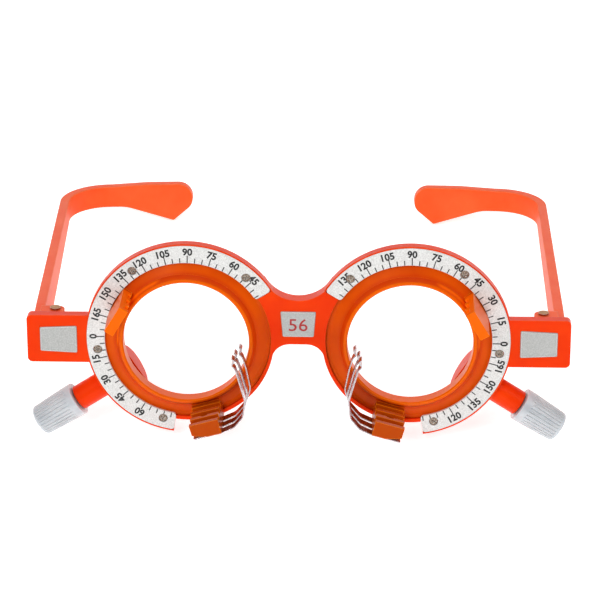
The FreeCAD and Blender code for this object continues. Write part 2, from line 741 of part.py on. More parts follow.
# ---------------------------------------------------------------- lens cell
def guide_corners(angle, inner, outer):
    """A block across the radius at an angle, in the cell's own frame."""
    turn = angle - 180 - size("knob_drop")
    half = size("guide_width") / 2
    corners = []
    for radius, side in ((inner, -half), (outer, -half), (outer, half), (inner, half)):
        corners.append((radius * cos(turn) - side * sin(turn), radius * sin(turn) + side * cos(turn)))
    return corners


def cell_ring():
    """The lens cell: a flanged barrel with gear teeth on its back and two comb guides in front."""
    body = new_body("left_cell_ring")
    bore, chamfer = size("bore_radius"), size("edge_chamfer")
    lip, crest = -size("lip_front"), size("bore_radius") + size("lip_width_front")
    band_back = REAR_WALL_FRONT - size("running_gap")
    back = size("cell_depth")
    revolve(body, "XY_Plane", [
        (bore, lip + chamfer), (bore + chamfer, lip), (crest, lip + chamfer / 2),
        (BARREL, lip / 8), (PLATE_INNER - chamfer, FLANGE_FRONT), (FLANGE, FLANGE_FRONT),
        (FLANGE, band_back), (BAND_INNER, band_back), (BAND_INNER, WEB_BACK), (BARREL, WEB_BACK),
        (BARREL, back + chamfer * 2), (bore + chamfer * 2, back + chamfer * 2), (bore, back)],
        "Y_Axis", Angle=Size("360"))
    foot = FLANGE_FRONT + size("web_thickness") / 2
    low, high = size("low_guide_angle"), size("upper_guide_angle")
    inner = GUIDE_INNER
    clear = -size("free_gap")
    for angle in (low, high):
        pad(body, "XZ_Plane", guide_corners(angle, inner, GUIDE_FOOT), foot - clear, offset=-foot)
    pad(body, "XZ_Plane", guide_corners(low, inner, GUIDE_OUTER), GUIDE_FRONT + clear, offset=-clear)
    pad(body, "XZ_Plane", guide_corners(high, inner, UPPER_GUIDE_OUTER), GUIDE_FRONT + clear,
        offset=-clear)
    for slot in range(count("lens_slots")):
        near = -(size("slot_front") + size("slot_pitch") * slot)
        far = near - size("slot_width")
        revolve(body, "XY_Plane", [(bore, far), (LENS_SEAT, far),
                                   (LENS_SEAT, near), (bore, near)],
                "Y_Axis", kind="Groove", Angle=Size("360"))
    relieve_guide(body)
    drill_guide(body)
    cell_teeth(body)
    body.Placement = cell_place()
    return body


def relieve_guide(body):
    """Slopes the lower guide's outer side where the spring's root swings in."""
    turn = size("low_guide_angle") - 180 - size("knob_drop")
    outer, half = GUIDE_OUTER, size("guide_width") / 2
    corners = []
    for radius, side in ((outer, Size("0")), (outer - size("guide_relief"), -half - 1),
                         (outer + 1, -half - 1), (outer + 1, Size("0"))):
        corners.append((radius * cos(turn) - side * sin(turn), radius * sin(turn) + side * cos(turn)))
    pocket(body, "XZ_Plane", corners, GUIDE_FRONT + 1, back=True)


def rivet_y():
    """Mid depth of the lens spring."""
    return -(size("spring_front") + size("spring_width") / 2)


def drill_guide(body):
    """The rivet's hole in the lower guide."""
    sketch = sketch_on(body, "YZ_Plane")
    turn = float(size("low_guide_angle") - 180 - size("knob_drop"))
    sketch.AttachmentOffset = Placement(Vector(0, 0, 0), Rotation(Vector(1, 0, 0), -turn))
    circle(sketch, (rivet_y(), Size("0")), size("rivet_hole_radius"))
    feature_of(body, "Pocket", sketch, Length=GUIDE_OUTER + 1, Reversed=True)


def cell_teeth(body):
    """Straight teeth on the back of the flange, a gap facing the pinion."""
    sketch = sketch_on(body, "YZ_Plane", TOOTH_INNER)
    pitch = math.pi * float(TOOTH_INNER + size("tooth_face") / 2) * 2 / RING_TEETH
    slope = math.tan(math.radians(float(size("pressure_angle"))))
    half = pitch / 4 - float(size("ring_thinning")) / 2
    root, tip = size("ring_root"), size("ring_tip")
    wide, narrow = half + float(root) * slope, half - float(tip) * slope
    base = WEB_BACK - size("web_thickness") / 4
    outline(sketch, [(base, Size(-wide)), (WEB_BACK, Size(-wide)), (PITCH_PLANE + tip, Size(-narrow)),
                     (PITCH_PLANE + tip, Size(narrow)), (WEB_BACK, Size(wide)), (base, Size(wide))])
    sketch.AttachmentOffset = Placement(Vector(0, 0, float(TOOTH_INNER)), Rotation())
    tooth = feature_of(body, "Pad", sketch, Length=size("tooth_face"))
    around(body, [tooth], "Y_Axis", RING_TEETH)


# ---------------------------------------------------------------- lens spring
def spring_points(tine):
    """Mid line of one tine in X and Z from the cell's centre, root first."""
    angle = math.radians(float(size("low_guide_angle")))
    radius = float(GUIDE_OUTER + size("seat_gap") + size("spring_thickness") / 2)
    along = Vector(-math.sin(angle), math.cos(angle), 0)
    middle = Vector(math.cos(angle), math.sin(angle), 0) * radius
    half = float(size("guide_width")) / 2
    spread = (1.0, 0.0, -0.5)[tine]
    scale = radius / 21.8
    free = [(12.4, -18.6), (14.8 + spread * 0.1, -15.6), (15.5 + spread * 0.7, -11.2),
            (14.1 + spread, -5.6), (13.2 + spread, -2.6)]
    hook = [(12.2 + spread, -1.7), (13.3 + spread, -0.7), (12.4 + spread, 0.0)]
    return [middle - along * half, middle + along * half] + [Vector(x, z, 0) * scale for x, z in free + hook]


def rounded_wire(points, radius):
    """A path through points, its inner corners rounded as far as the legs allow."""
    edges = []
    start = points[0]
    for i in range(1, len(points) - 1):
        before = points[i - 1] - points[i]
        after = points[i + 1] - points[i]
        half = before.getAngle(after) / 2
        reach = min(radius / math.tan(half), 0.45 * before.Length, 0.45 * after.Length)
        into = points[i] + before.normalize() * reach
        out = points[i] + after.normalize() * reach
        curve = reach * math.tan(half)
        bisector = ((into - points[i]) + (out - points[i])).normalize()
        centre = points[i] + bisector * (curve / math.sin(half))
        bulge = centre - bisector * curve
        edges.append(Part.LineSegment(start, into).toShape())
        edges.append(Part.Arc(into, bulge, out).toShape())
        start = out
    edges.append(Part.LineSegment(start, points[-1]).toShape())
    return Part.Wire(edges)


def strip(points, front, width):
    """A bent strip of sheet that follows the points, from a depth forward by a width."""
    wire = rounded_wire(points, 3.0)
    half = float(size("spring_thickness")) / 2
    one = wire.makeOffset2D(half, join=0, openResult=True)
    other = wire.makeOffset2D(-half, join=0, openResult=True)
    ends = [Part.LineSegment(one.OrderedVertexes[k].Point,
                             nearest(other, one.OrderedVertexes[k].Point)).toShape()
            for k in (0, -1)]
    face = Part.Face(Part.Wire(Part.sortEdges(one.Edges + other.Edges + ends)[0]))
    solid = face.extrude(Vector(0, 0, width))
    solid.rotate(Vector(0, 0, 0), Vector(1, 0, 0), 90)
    solid.translate(Vector(0, -front, 0))
    return solid


def spring_root(front):
    """The flat root of the lens spring, across all the tines."""
    start, end = spring_points(1)[:2]
    along = (end - start).normalize()
    side = Vector(-along.y, along.x, 0) * (float(size("spring_thickness")) / 2)
    corners = [start - side, end - side, end + side, start + side]
    face = Part.Face(Part.makePolygon(corners + corners[:1]))
    solid = face.extrude(Vector(0, 0, float(size("spring_width"))))
    solid.rotate(Vector(0, 0, 0), Vector(1, 0, 0), 90)
    solid.translate(Vector(0, -front, 0))
    return solid


def nearest(wire, point):
    return min((v.Point for v in wire.OrderedVertexes), key=lambda p: (p - point).Length)


def spring_fork():
    """The lens spring: one stamping, a root under the lower guide and three bent tines."""
    tines = 3
    gap = float(size("tine_gap"))
    width = (float(size("spring_width")) - gap * (tines - 1)) / tines
    front = float(size("spring_front"))
    pieces = []
    for tine in range(tines):
        pieces.append(strip(spring_points(tine), front + tine * (width + gap), width))
    pieces.append(spring_root(front))
    shape = pieces[0].multiFuse(pieces[1:]).removeSplitter()
    angle = math.radians(float(size("low_guide_angle")))
    radial = Vector(math.cos(angle), 0, math.sin(angle))
    start = radial * (float(GUIDE_OUTER) - 1) + Vector(0, float(rivet_y()), 0)
    shape = shape.cut(Part.makeCylinder(float(size("rivet_radius")), 3.0, start, radial))
    feature = doc.addObject("Part::Feature", "left_spring_fork")
    feature.Shape = Part.Solid(shape.Solids[0]) if len(shape.Solids) == 1 else shape
    feature.Placement = Placement(spot(-HALF_PD, 0, 0), Rotation())
    return feature


def fork_rivet():
    """The rivet of the lens spring, from its head outside the spring into the lower guide."""
    turn = facing_out(size("low_guide_angle"))
    outside = GUIDE_OUTER + size("seat_gap") + size("spring_thickness")
    inside = outside - size("rivet_length") - size("spring_thickness")
    pieces = []
    for name, radius, start, length in (
            ("rivet_shank", size("rivet_radius"), inside, outside - inside),
            ("rivet_head", size("rivet_head_radius"), outside, size("rivet_head_height"))):
        x, z = polar(start, size("low_guide_angle"))
        pieces.append(cylinder(name, radius, length, x - HALF_PD, rivet_y(), z, turn))
    return fuse("left_fork_rivet", pieces)


def facing_out(angle):
    """Turns +Z to the radial direction at an angle seen from the front."""
    radial = Vector(math.cos(math.radians(float(angle))), 0, math.sin(math.radians(float(angle))))
    return Rotation(Vector(0, 0, 1), radial)


# ---------------------------------------------------------------- knob drive
def pinion():
    """A spur gear with involute flanks on the knob's shaft."""
    teeth = count("pinion_teeth")
    pitch = float(PINION_PITCH)
    pressure = math.radians(float(size("pressure_angle")))
    base = pitch * math.cos(pressure)
    root, tip = pitch - float(size("pinion_root")), float(PINION_TIP)
    half = math.pi / (2 * teeth) - float(size("pinion_thinning")) / (2 * pitch)
    at_pitch = math.tan(pressure) - pressure

    def flank(radius):
        roll = math.acos(min(1.0, base / radius))
        return half + at_pitch - (math.tan(roll) - roll)

    steps = 4
    radii = [root] + [base + (tip - base) * k / steps for k in range(steps + 1)]
    wide = [flank(max(radius, base)) for radius in radii]
    points = []
    for tooth in range(teeth):
        middle = 2 * math.pi * (tooth + 0.5) / teeth
        side = [(radius, middle - turn) for radius, turn in zip(radii, wide)]
        side += [(radius, middle + turn) for radius, turn in reversed(list(zip(radii, wide)))]
        points += [Vector(0, -radius * math.cos(turn), radius * math.sin(turn)) for radius, turn in side]
    face = Part.Face(Part.makePolygon(points + points[:1]))
    shape = face.extrude(Vector(float(size("tooth_face")), 0, 0))
    shape = shape.cut(Part.makeCylinder(float(size("shaft_radius")), 20, Vector(-5, 0, 0), Vector(1, 0, 0)))
    feature = doc.addObject("Part::Feature", "left_pinion")
    feature.Shape = shape
    shift = Placement(spot(TOOTH_INNER, SHAFT_Y, 0), Rotation())
    feature.Placement = cell_place().multiply(shift)
    return feature


def knob_shaft():
    """The shaft from the pinion through the tube into the knob."""
    radius = size("shaft_radius")
    return fuse("left_knob_shaft", [
        knob_line("shaft_journal", radius, TOOTH_INNER, KNOB_START),
        knob_line("shaft_grip_end", radius, KNOB_START, KNOB_START + size("shaft_grip")),
    ])


def knob():
    """The knob: a smooth collar, then a tapered grip with fine grooves and a rounded end."""
    body = new_body("left_knob")
    start, end = Size("0"), size("knob_length")
    collar = size("knob_collar")
    shaft, grip = size("shaft_radius"), size("shaft_grip")
    inner, outer = size("knob_inner_radius"), size("knob_outer_radius")
    revolve(body, "XY_Plane", [(start, shaft), (start, inner), (collar, inner), (end, outer),
                               (end, Size("0")), (grip, Size("0")), (grip, shaft)],
            "X_Axis", Angle=Size("360"),
            radii=[None, size("groove_depth"), None, size("knob_round"), None, None, None])
    slope = (inner - outer) / (end - collar)
    last = end - size("knob_round")
    deep = size("groove_depth")
    low, high = inner - deep, inner + deep
    pocket_corners = [(collar, low), (last, low - slope * (last - collar)),
                      (last, high - slope * (last - collar)), (collar, high)]
    sketch = sketch_on(body, "XY_Plane")
    outline(sketch, pocket_corners)
    groove = feature_of(body, "Pocket", sketch, Length=size("groove_width"), Midplane=True)
    around(body, [groove], "X_Axis", count("knob_grooves"))
    shift = Placement(spot(KNOB_START, SHAFT_Y, 0), Rotation())
    body.Placement = cell_place().multiply(shift)
    return body


def gear_cover():
    """The round cover behind the rim that closes the gear."""
    radius, start = size("cover_radius"), COVER_START
    end = RIM_OUTER - size("free_gap")
    outside = knob_line("cover_outside", radius, start, end)
    room = knob_line("cover_room", PINION_TIP + size("free_gap"), TOOTH_INNER - size("free_gap"),
                     TOOTH_OUTER + size("free_gap"))
    bore = knob_line("cover_bore", size("shaft_radius") + size("shaft_gap"), TOOTH_OUTER, end + 1)
    tube = knob_line("cover_tube_room", size("tube_radius") + size("seat_gap"),
                     SEAT + size("low_wall"), end + 1)
    wide = RIM_OUTER * 4
    front = box("cover_front", (-HALF_PD - wide / 2, -wide, -wide / 2),
                (-HALF_PD + wide / 2, size("rim_depth"), wide / 2))
    barrel = cylinder("cover_barrel_room", BARREL + size("free_gap"),
                      size("cell_depth") + size("free_gap"), -HALF_PD, Size("0"), Size("0"), facing_back())
    tools = [room, bore, tube, front, barrel]
    for index, side in enumerate((-1, 1)):
        x, z = cover_screw_spot(side)
        tools.append(cylinder(f"cover_head_room_{index}", size("cover_head_radius") + size("seat_gap"),
                              size("cover_radius") * 2, x, cover_seat_y(), z, facing_back()))
        tools.append(cylinder(f"cover_shank_hole_{index}", size("cover_shank_radius") + size("seat_gap"),
                              size("cover_land") * 2, x, size("rim_depth") - size("cover_land"), z,
                              facing_back()))
    return cut("left_gear_cover", outside, fuse("cover_cuts", tools))


# ---------------------------------------------------------------- temples
def temple():
    """The left side arm: hinge ears, a tapered arm and a paddle that curls in behind the head."""
    body = new_body("left_temple")
    outer = -(LUG_END - size("temple_inset"))
    inner = outer + size("temple_thickness")
    front = size("lug_depth") + size("free_gap")
    back = size("temple_length")
    tip, flare, skew = outer + size("tip_reach"), size("temple_flare"), size("tip_skew")
    bend, thick = size("temple_bend"), size("temple_thickness")
    tall = size("root_half") + size("tip_drop")
    pad(body, "XY_Plane", [(outer, front), (inner, front), (inner - flare, back - thick),
                           (tip, back - thick + skew), (tip, back + skew), (outer - flare, back)],
        tall * 2, offset=MID_Z - tall, radii=[None, None, bend, None, None, bend + thick])
    root, slim = size("root_half"), size("bend_half")
    far, low = back - bend - thick, MID_Z - size("temple_droop")
    for sign in (1, -1):
        edge = [(front - 1, MID_Z + root * sign), (front + 8, MID_Z + root * sign),
                (far, low + slim * sign), (back + skew + 1, low + slim * sign),
                (back + skew + 1, MID_Z + (tall + 1) * sign), (front - 1, MID_Z + (tall + 1) * sign)]
        pocket(body, "YZ_Plane", edge, bend + thick + flare, offset=outer - flare + bend + thick)
    hook_start = outer - flare + bend + thick
    for edge, radii in paddle_edges(hook_start, tip, slim, tall):
        sketch = sketch_on(body, "XZ_Plane", -(back + skew + 1))
        outline(sketch, edge, radii)
        feature_of(body, "Pocket", sketch, Length=thick + skew * 2 + 2, Reversed=True)
    temple_ears(body, inner)
    return body


def paddle_edges(hook_start, tip, slim, tall):
    """What is cut away above and under the paddle."""
    top, drop, corner = size("tip_top"), size("tip_drop"), size("tip_round")
    middle = MID_Z - size("temple_droop")
    knee = tip - corner * 1.2
    above = [(hook_start, middle + slim), (hook_start + 10, middle + top), (tip, middle + top),
             (tip, middle), (tip + 1, middle), (tip + 1, middle + tall * 2), (hook_start, middle + tall * 2)]
    below = [(hook_start, middle - slim), (hook_start + 4, middle - slim), (knee, middle - drop),
             (tip, middle - drop * 0.35), (tip, middle), (tip + 1, middle), (tip + 1, middle - tall * 2),
             (hook_start, middle - tall * 2)]
    return (
        (above, [None, size("temple_bend"), corner * 0.9, None, None, None, None]),
        (below, [None, size("temple_bend"), corner * 0.15, corner * 0.8, None, None, None, None]),
    )


def temple_ears(body, inner):
    """Two ears that straddle the knuckle, drilled for the pin."""
    half = size("knuckle_half") + size("hinge_gap")
    ear, thick = size("ear_radius"), size("ear_thickness")
    for base in (MID_Z + half, MID_Z - half - thick):
        pad(body, "XY_Plane", [(inner - 1, HINGE_Y - ear), (-HINGE_X + ear, HINGE_Y - ear),
                               (-HINGE_X + ear, HINGE_Y + ear), (inner - 1, HINGE_Y + ear)], thick,
            offset=base, radii=[None, ear * 0.9, ear * 0.9, None])
    sketch = sketch_on(body, "XY_Plane")
    circle(sketch, (-HINGE_X, HINGE_Y), size("pin_radius") + size("shaft_gap"))
    feature_of(body, "Pocket", sketch, Midplane=True, Type="ThroughAll")


def hinge_pin():
    """A pin through the ears and the knuckle, with a flat head on top."""
    half = size("knuckle_half") + size("hinge_gap") + size("ear_thickness")
    foot = MID_Z - half
    shank = cylinder("pin_shank", size("pin_radius"), half * 2 + size("hinge_gap"), -HINGE_X, HINGE_Y, foot,
                     Rotation())
    head = cylinder("pin_head", size("pin_head_radius"), size("pin_head_height"), -HINGE_X, HINGE_Y,
                    MID_Z + half + size("hinge_gap"), Rotation())
    return fuse("left_hinge_pin", [shank, head])


# ---------------------------------------------------------------- resting pose
def knob_lowest(lean):
    """Lowest point of a knob when the front leans back by an angle."""
    normal = Vector(0, -math.sin(lean), math.cos(lean))
    drop = math.radians(float(size("knob_drop")))
    axis = Vector(-math.cos(drop), 0, -math.sin(drop))
    end = float(KNOB_END - size("knob_round"))
    centre = Vector(0, float(SHAFT_Y), 0) + axis * end
    side = math.sqrt(1 - normal.dot(axis) ** 2)
    core = float(size("knob_outer_radius") - size("knob_round"))
    return normal.dot(centre) - core * side - float(size("knob_round"))


def temple_lowest(lean):
    """Lowest point of a temple's tip when the front leans back by an angle."""
    back = float(size("temple_length")) + float(size("tip_skew")) * 0.85
    corner = Vector(0, back, float(MID_Z - size("temple_droop") - size("tip_drop")))
    return Vector(0, -math.sin(lean), math.cos(lean)).dot(corner)


def rest_pose():
    """Leans the object back until knobs and temple tips stand level, and lifts it onto Z = 0."""
    low, high = 0.0, math.radians(40)
    for _ in range(60):
        lean = (low + high) / 2
        if knob_lowest(lean) < temple_lowest(lean):
            low = lean
        else:
            high = lean
    turn = Rotation(Vector(1, 0, 0), -math.degrees(lean))
    return Placement(Vector(0, 0, -knob_lowest(lean)), turn)


# ---------------------------------------------------------------- the assembly
left_pieces = [
    badge("left_lug_badge", lug_badge_corners(Size("0"))),
    dial_plate(),
    dial_screws(),
    cell_ring(),
    spring_fork(),
    fork_rivet(),
    pinion(),
    knob_shaft(),
    knob(),
    gear_cover(),
    cover_screws(),
    temple(),
    hinge_pin(),
]
middle_pieces = [front_frame(), badge("bridge_badge", bridge_badge_corners(Size("0")))]
doc.recompute()

everything = middle_pieces + left_pieces
placements = [piece.Placement for piece in everything]
pose = rest_pose()
boxes = []
for piece, placement in zip(everything, placements):
    piece.Placement = pose.multiply(placement)
    boxes.append(piece.Shape.optimalBoundingBox(False))
middle_y = (min(box.YMin for box in boxes) + max(box.YMax for box in boxes)) / 2
for piece in everything:
    piece.Placement = Placement(Vector(0, -middle_y, 0), Rotation()).multiply(piece.Placement)
doc.recompute()
right_pieces = [mirrored(piece, piece.Name.replace("left_", "right_")) for piece in left_pieces]
pin_foot = pose.multVec(spot(HINGE_X, HINGE_Y, 0)) + Vector(0, -middle_y, 0)
pin_axis = pose.Rotation.multVec(Vector(0, 0, 1))
right_temple = doc.getObject("right_temple")
right_turn = Rotation(pin_axis, float(size("right_turn")))
right_temple.Placement = Placement(Vector(), right_turn, pin_foot)
doc.recompute()

widest = [doc.getObject(name).Shape.optimalBoundingBox(False)
          for name in ("left_temple", "front_frame", "right_temple")]
aside = Vector(-(min(box.XMin for box in widest) + max(box.XMax for box in widest)) / 2, 0, 0)
for piece in everything:
    piece.Placement = Placement(aside, Rotation()).multiply(piece.Placement)
for piece in right_pieces:
    piece.Base = aside
right_temple.Placement = Placement(Vector(), right_turn, pin_foot + aside)
pieces = middle_pieces + left_pieces + right_pieces
doc.recompute()

for item in doc.Objects:
    if "Invalid" in item.State or "Error" in item.State:
        raise RuntimeError(f"{item.Name} failed: {item.State}")
for piece in pieces:
    piece.Label = piece.Name
    if piece.Shape.isNull() or not piece.Shape.isValid():
        raise RuntimeError(f"{piece.Label} has no valid shape")

os.makedirs("parts", exist_ok=True)
print("lean", math.degrees(pose.Rotation.Angle), "lift", pose.Base.z, "shift", -middle_y, "aside", aside.x)
for piece in pieces:
    piece.Shape.exportStep(f"parts/{piece.Label}.step")
    print(piece.Label, len(piece.Shape.Solids), round(piece.Shape.Volume, 2), "mm3")
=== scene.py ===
"""Looks of the trial frame: glossy orange mouldings, printed dials, steel springs and pale knobs."""
import json
import math

import bmesh
import bpy
from mathutils import Matrix, Quaternion, Vector


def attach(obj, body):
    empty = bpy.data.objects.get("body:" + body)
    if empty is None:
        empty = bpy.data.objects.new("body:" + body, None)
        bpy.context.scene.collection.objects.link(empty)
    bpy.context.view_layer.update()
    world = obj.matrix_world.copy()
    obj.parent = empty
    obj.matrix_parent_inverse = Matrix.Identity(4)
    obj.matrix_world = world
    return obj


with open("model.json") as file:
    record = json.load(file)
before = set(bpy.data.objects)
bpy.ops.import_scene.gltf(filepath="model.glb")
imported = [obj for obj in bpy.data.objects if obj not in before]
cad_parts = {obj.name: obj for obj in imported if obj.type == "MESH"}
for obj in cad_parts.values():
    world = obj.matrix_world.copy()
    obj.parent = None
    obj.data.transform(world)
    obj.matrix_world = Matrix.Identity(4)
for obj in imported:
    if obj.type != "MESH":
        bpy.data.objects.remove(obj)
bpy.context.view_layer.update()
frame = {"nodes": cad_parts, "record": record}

MM = 0.001
SIDES = ("left", "right")

# ---------------------------------------------------------------- the object's own frame
joints = {joint["name"]: joint for joint in frame["record"]["behaviour"]["joints"]}
CELLS = {side: Vector(joints[f"{side}_cell_turn"]["pos_m"]) for side in SIDES}
BACK = Vector(joints["left_cell_turn"]["axis"])
UP = Vector(joints["left_temple_fold"]["axis"])
RIGHT = Vector((1, 0, 0))
LOCAL = Matrix((RIGHT, BACK, UP)).transposed().to_4x4()
LOCAL.translation = (CELLS["left"] + CELLS["right"]) / 2
FACING = Matrix((RIGHT, UP, -BACK)).transposed().to_4x4()      # turns a print's face to the front


def place(x, y, z):
    """A point given in millimetres in the frame of the object's front."""
    return LOCAL @ (Vector((x, y, z)) * MM)


def outwards(angle):
    """Direction away from a cell's axis, at an angle in degrees seen from the front."""
    turn = math.radians(angle)
    return RIGHT * math.cos(turn) + UP * math.sin(turn)


def distance_from_axis(point, side):
    """Distance of a point from a cell's axis, in millimetres."""
    away = point - CELLS[side]
    return (away - BACK * away.dot(BACK)).length / MM


# ---------------------------------------------------------------- shader nodes
# the edge mask carries a painted highlight: sharp edges are tinted a lighter colour where light would
# catch them
FACE_COSINE = 0.995        # between a face's true and rounded normals, where an edge starts to show
EDGE_COSINE = 0.80         # and where it shows in full
EDGE_SAMPLES = 6


def new_material(name):
    """A new material with its nodes, links and main shader."""
    material = bpy.data.materials.new(name)
    material.use_nodes = True
    nodes = material.node_tree.nodes
    return material, nodes, material.node_tree.links, nodes["Principled BSDF"]


def set_inputs(node, values):
    """Sets a node's inputs to constant values."""
    for name, value in values.items():
        node.inputs[name].default_value = value


def object_coordinates(nodes):
    return nodes.new("ShaderNodeTexCoord").outputs["Object"]


def noise(nodes, links, coordinates, scale, detail=3.0, roughness=0.55):
    """Noise over coordinates, its scale in features a millimetre."""
    texture = nodes.new("ShaderNodeTexNoise")
    set_inputs(texture, {"Scale": scale / MM, "Detail": detail, "Roughness": roughness})
    links.new(coordinates, texture.inputs["Vector"])
    return texture.outputs["Fac"]


def ramp(nodes, links, source, stops):
    """A colour ramp over a value; stops are (position, colour)."""
    node = nodes.new("ShaderNodeValToRGB")
    elements = node.color_ramp.elements
    while len(elements) < len(stops):
        elements.new(0.5)
    for element, (position, colour) in zip(elements, stops):
        element.position = position
        element.color = (*colour, 1)
    links.new(source, node.inputs["Fac"])
    return node.outputs["Color"]


def tint(nodes, links, mask, below, colour):
    """Lays a colour over the one below, as far as a mask says."""
    node = nodes.new("ShaderNodeMix")
    node.data_type = "RGBA"
    links.new(mask, node.inputs["Factor"])
    links.new(below, node.inputs["A"])
    node.inputs["B"].default_value = (*colour, 1)
    return node.outputs["Result"]


def product(nodes, links, *masks):
    """Masks multiplied with each other."""
    result = masks[0]
    for mask in masks[1:]:
        node = nodes.new("ShaderNodeMath")
        node.operation = "MULTIPLY"
        links.new(result, node.inputs[0])
        links.new(mask, node.inputs[1])
        result = node.outputs["Value"]
    return result


def vector_node(nodes, links, operation, first, second=None):
    """Vector arithmetic between a socket and a second socket or a constant."""
    node = nodes.new("ShaderNodeVectorMath")
    node.operation = operation
    links.new(first, node.inputs[0])
    if isinstance(second, bpy.types.NodeSocket):
        links.new(second, node.inputs[1])
    elif second is not None:
        node.inputs[1].default_value = second
    return node.outputs


def spread(nodes, links, source, low, high):
    """Maps a 0 to 1 value onto a range."""
    node = nodes.new("ShaderNodeMapRange")
    set_inputs(node, {"To Min": low, "To Max": high})
    links.new(source, node.inputs["Value"])
    return node.outputs["Result"]


def rise(nodes, links, source, start, end):
    """A mask that is 0 up to one value and 1 from the other on."""
    node = nodes.new("ShaderNodeMapRange")
    set_inputs(node, {"From Min": start, "From Max": end})
    links.new(source, node.inputs["Value"])
    return node.outputs["Result"]


def beyond(nodes, links, centre, direction, start, soft):
    """A mask past a plane across a direction; start is its distance from a point, in millimetres."""
    away = vector_node(nodes, links, "SUBTRACT", object_coordinates(nodes), centre)["Vector"]
    depth = vector_node(nodes, links, "DOT_PRODUCT", away, direction)["Value"]
    return rise(nodes, links, depth, (start - soft) * MM, (start + soft) * MM)


def band(nodes, links, centre, inner, outer, soft):
    """A mask between two radii round a cell's axis, in millimetres."""
    away = vector_node(nodes, links, "SUBTRACT", object_coordinates(nodes), centre)["Vector"]
    across = vector_node(nodes, links, "CROSS_PRODUCT", away, BACK)["Vector"]
    radius = vector_node(nodes, links, "LENGTH", across)["Value"]
    outside_inner = rise(nodes, links, radius, (inner - soft) * MM, (inner + soft) * MM)
    inside_outer = rise(nodes, links, radius, (outer + soft) * MM, (outer - soft) * MM)
    return product(nodes, links, outside_inner, inside_outer)


def edges(nodes, links, radius):
    """A mask along sharp edges, and the normal that rounds them; the radius is in millimetres."""
    bevel = nodes.new("ShaderNodeBevel")
    bevel.samples = EDGE_SAMPLES
    bevel.inputs["Radius"].default_value = radius * MM
    rounded_normal = bevel.outputs["Normal"]
    true_normal = nodes.new("ShaderNodeNewGeometry").outputs["Normal"]
    cosine = vector_node(nodes, links, "DOT_PRODUCT", rounded_normal, true_normal)["Value"]
    return rise(nodes, links, cosine, FACE_COSINE, EDGE_COSINE), rounded_normal


def bump(nodes, links, height, strength, depth, normal):
    """A fine relief on top of a normal; the depth is in millimetres."""
    node = nodes.new("ShaderNodeBump")
    set_inputs(node, {"Strength": strength, "Distance": depth * MM})
    links.new(height, node.inputs["Height"])
    links.new(normal, node.inputs["Normal"])
    return node.outputs["Normal"]


def surface(nodes, links, shader, colour, edge_highlight_colour, grain, rounding, roughness, relief):
    """Joins a colour, a painted highlight along sharp edges, uneven roughness and a fine relief to a
    shader.

    Roughness is (low, high) and relief is (strength, depth); both follow the grain."""
    edge_highlight, normal = edges(nodes, links, rounding)
    # painted highlight: the edges are tinted with the lighter edge colour
    links.new(tint(nodes, links, edge_highlight, colour, edge_highlight_colour), shader.inputs["Base Color"])
    links.new(spread(nodes, links, grain, *roughness), shader.inputs["Roughness"])
    links.new(bump(nodes, links, grain, *relief, normal), shader.inputs["Normal"])


# ---------------------------------------------------------------- kinds of material
GLOSSY_PLASTIC = {
    "Subsurface Weight": 0.18,
    "Subsurface Radius": (1.0, 0.28, 0.08),
    "Subsurface Scale": 0.0022,
    "IOR": 1.3,
    "Specular IOR Level": 0.35,
    "Specular Tint": (1.0, 0.45, 0.25, 1),
    "Coat Weight": 0.03,
    "Coat Roughness": 0.12,
}
PALE_PLASTIC = {
    "Subsurface Weight": 0.35,
    "Subsurface Radius": (0.8, 0.9, 1.0),
    "Subsurface Scale": 0.002,
    "Coat Weight": 0.3,
}


def moulding(name, base, deep, edge_highlight, roughness, rounding, patches=()):
    """Glossy moulded plastic with flow marks, a faint grain and a painted highlight along its edges.

    Each patch is a function that makes a mask, and the colour that the mask lets through."""
    material, nodes, links, shader = new_material(name)
    coordinates = object_coordinates(nodes)
    flow = noise(nodes, links, coordinates, scale=0.09, detail=4.0)
    colour = ramp(nodes, links, flow, [(0.3, deep), (0.72, base)])
    for make_mask, patch_colour in patches:
        colour = tint(nodes, links, make_mask(nodes, links), colour, patch_colour)
    grain = noise(nodes, links, coordinates, scale=2.5, detail=5.0)
    surface(nodes, links, shader, colour, edge_highlight, grain, rounding, roughness, relief=(0.12, 0.03))
    set_inputs(shader, GLOSSY_PLASTIC)
    return material


def speckled(name, base, dark, light, roughness, metallic):
    """A fine-grained plate: matt print film or matt rolled metal."""
    material, nodes, links, shader = new_material(name)
    coordinates = object_coordinates(nodes)
    grain = noise(nodes, links, coordinates, scale=3.2, detail=2.0, roughness=0.7)
    clouds = spread(nodes, links, noise(nodes, links, coordinates, scale=0.12), low=0.0, high=0.25)
    colour = ramp(nodes, links, grain, [(0.36, dark), (0.5, base), (0.64, light)])
    colour = tint(nodes, links, clouds, colour, dark)
    # the light tone is also laid along sharp edges as a painted highlight
    surface(nodes, links, shader, colour, light, grain,
            rounding=0.15, roughness=roughness, relief=(0.15, 0.02))
    shader.inputs["Metallic"].default_value = metallic
    return material


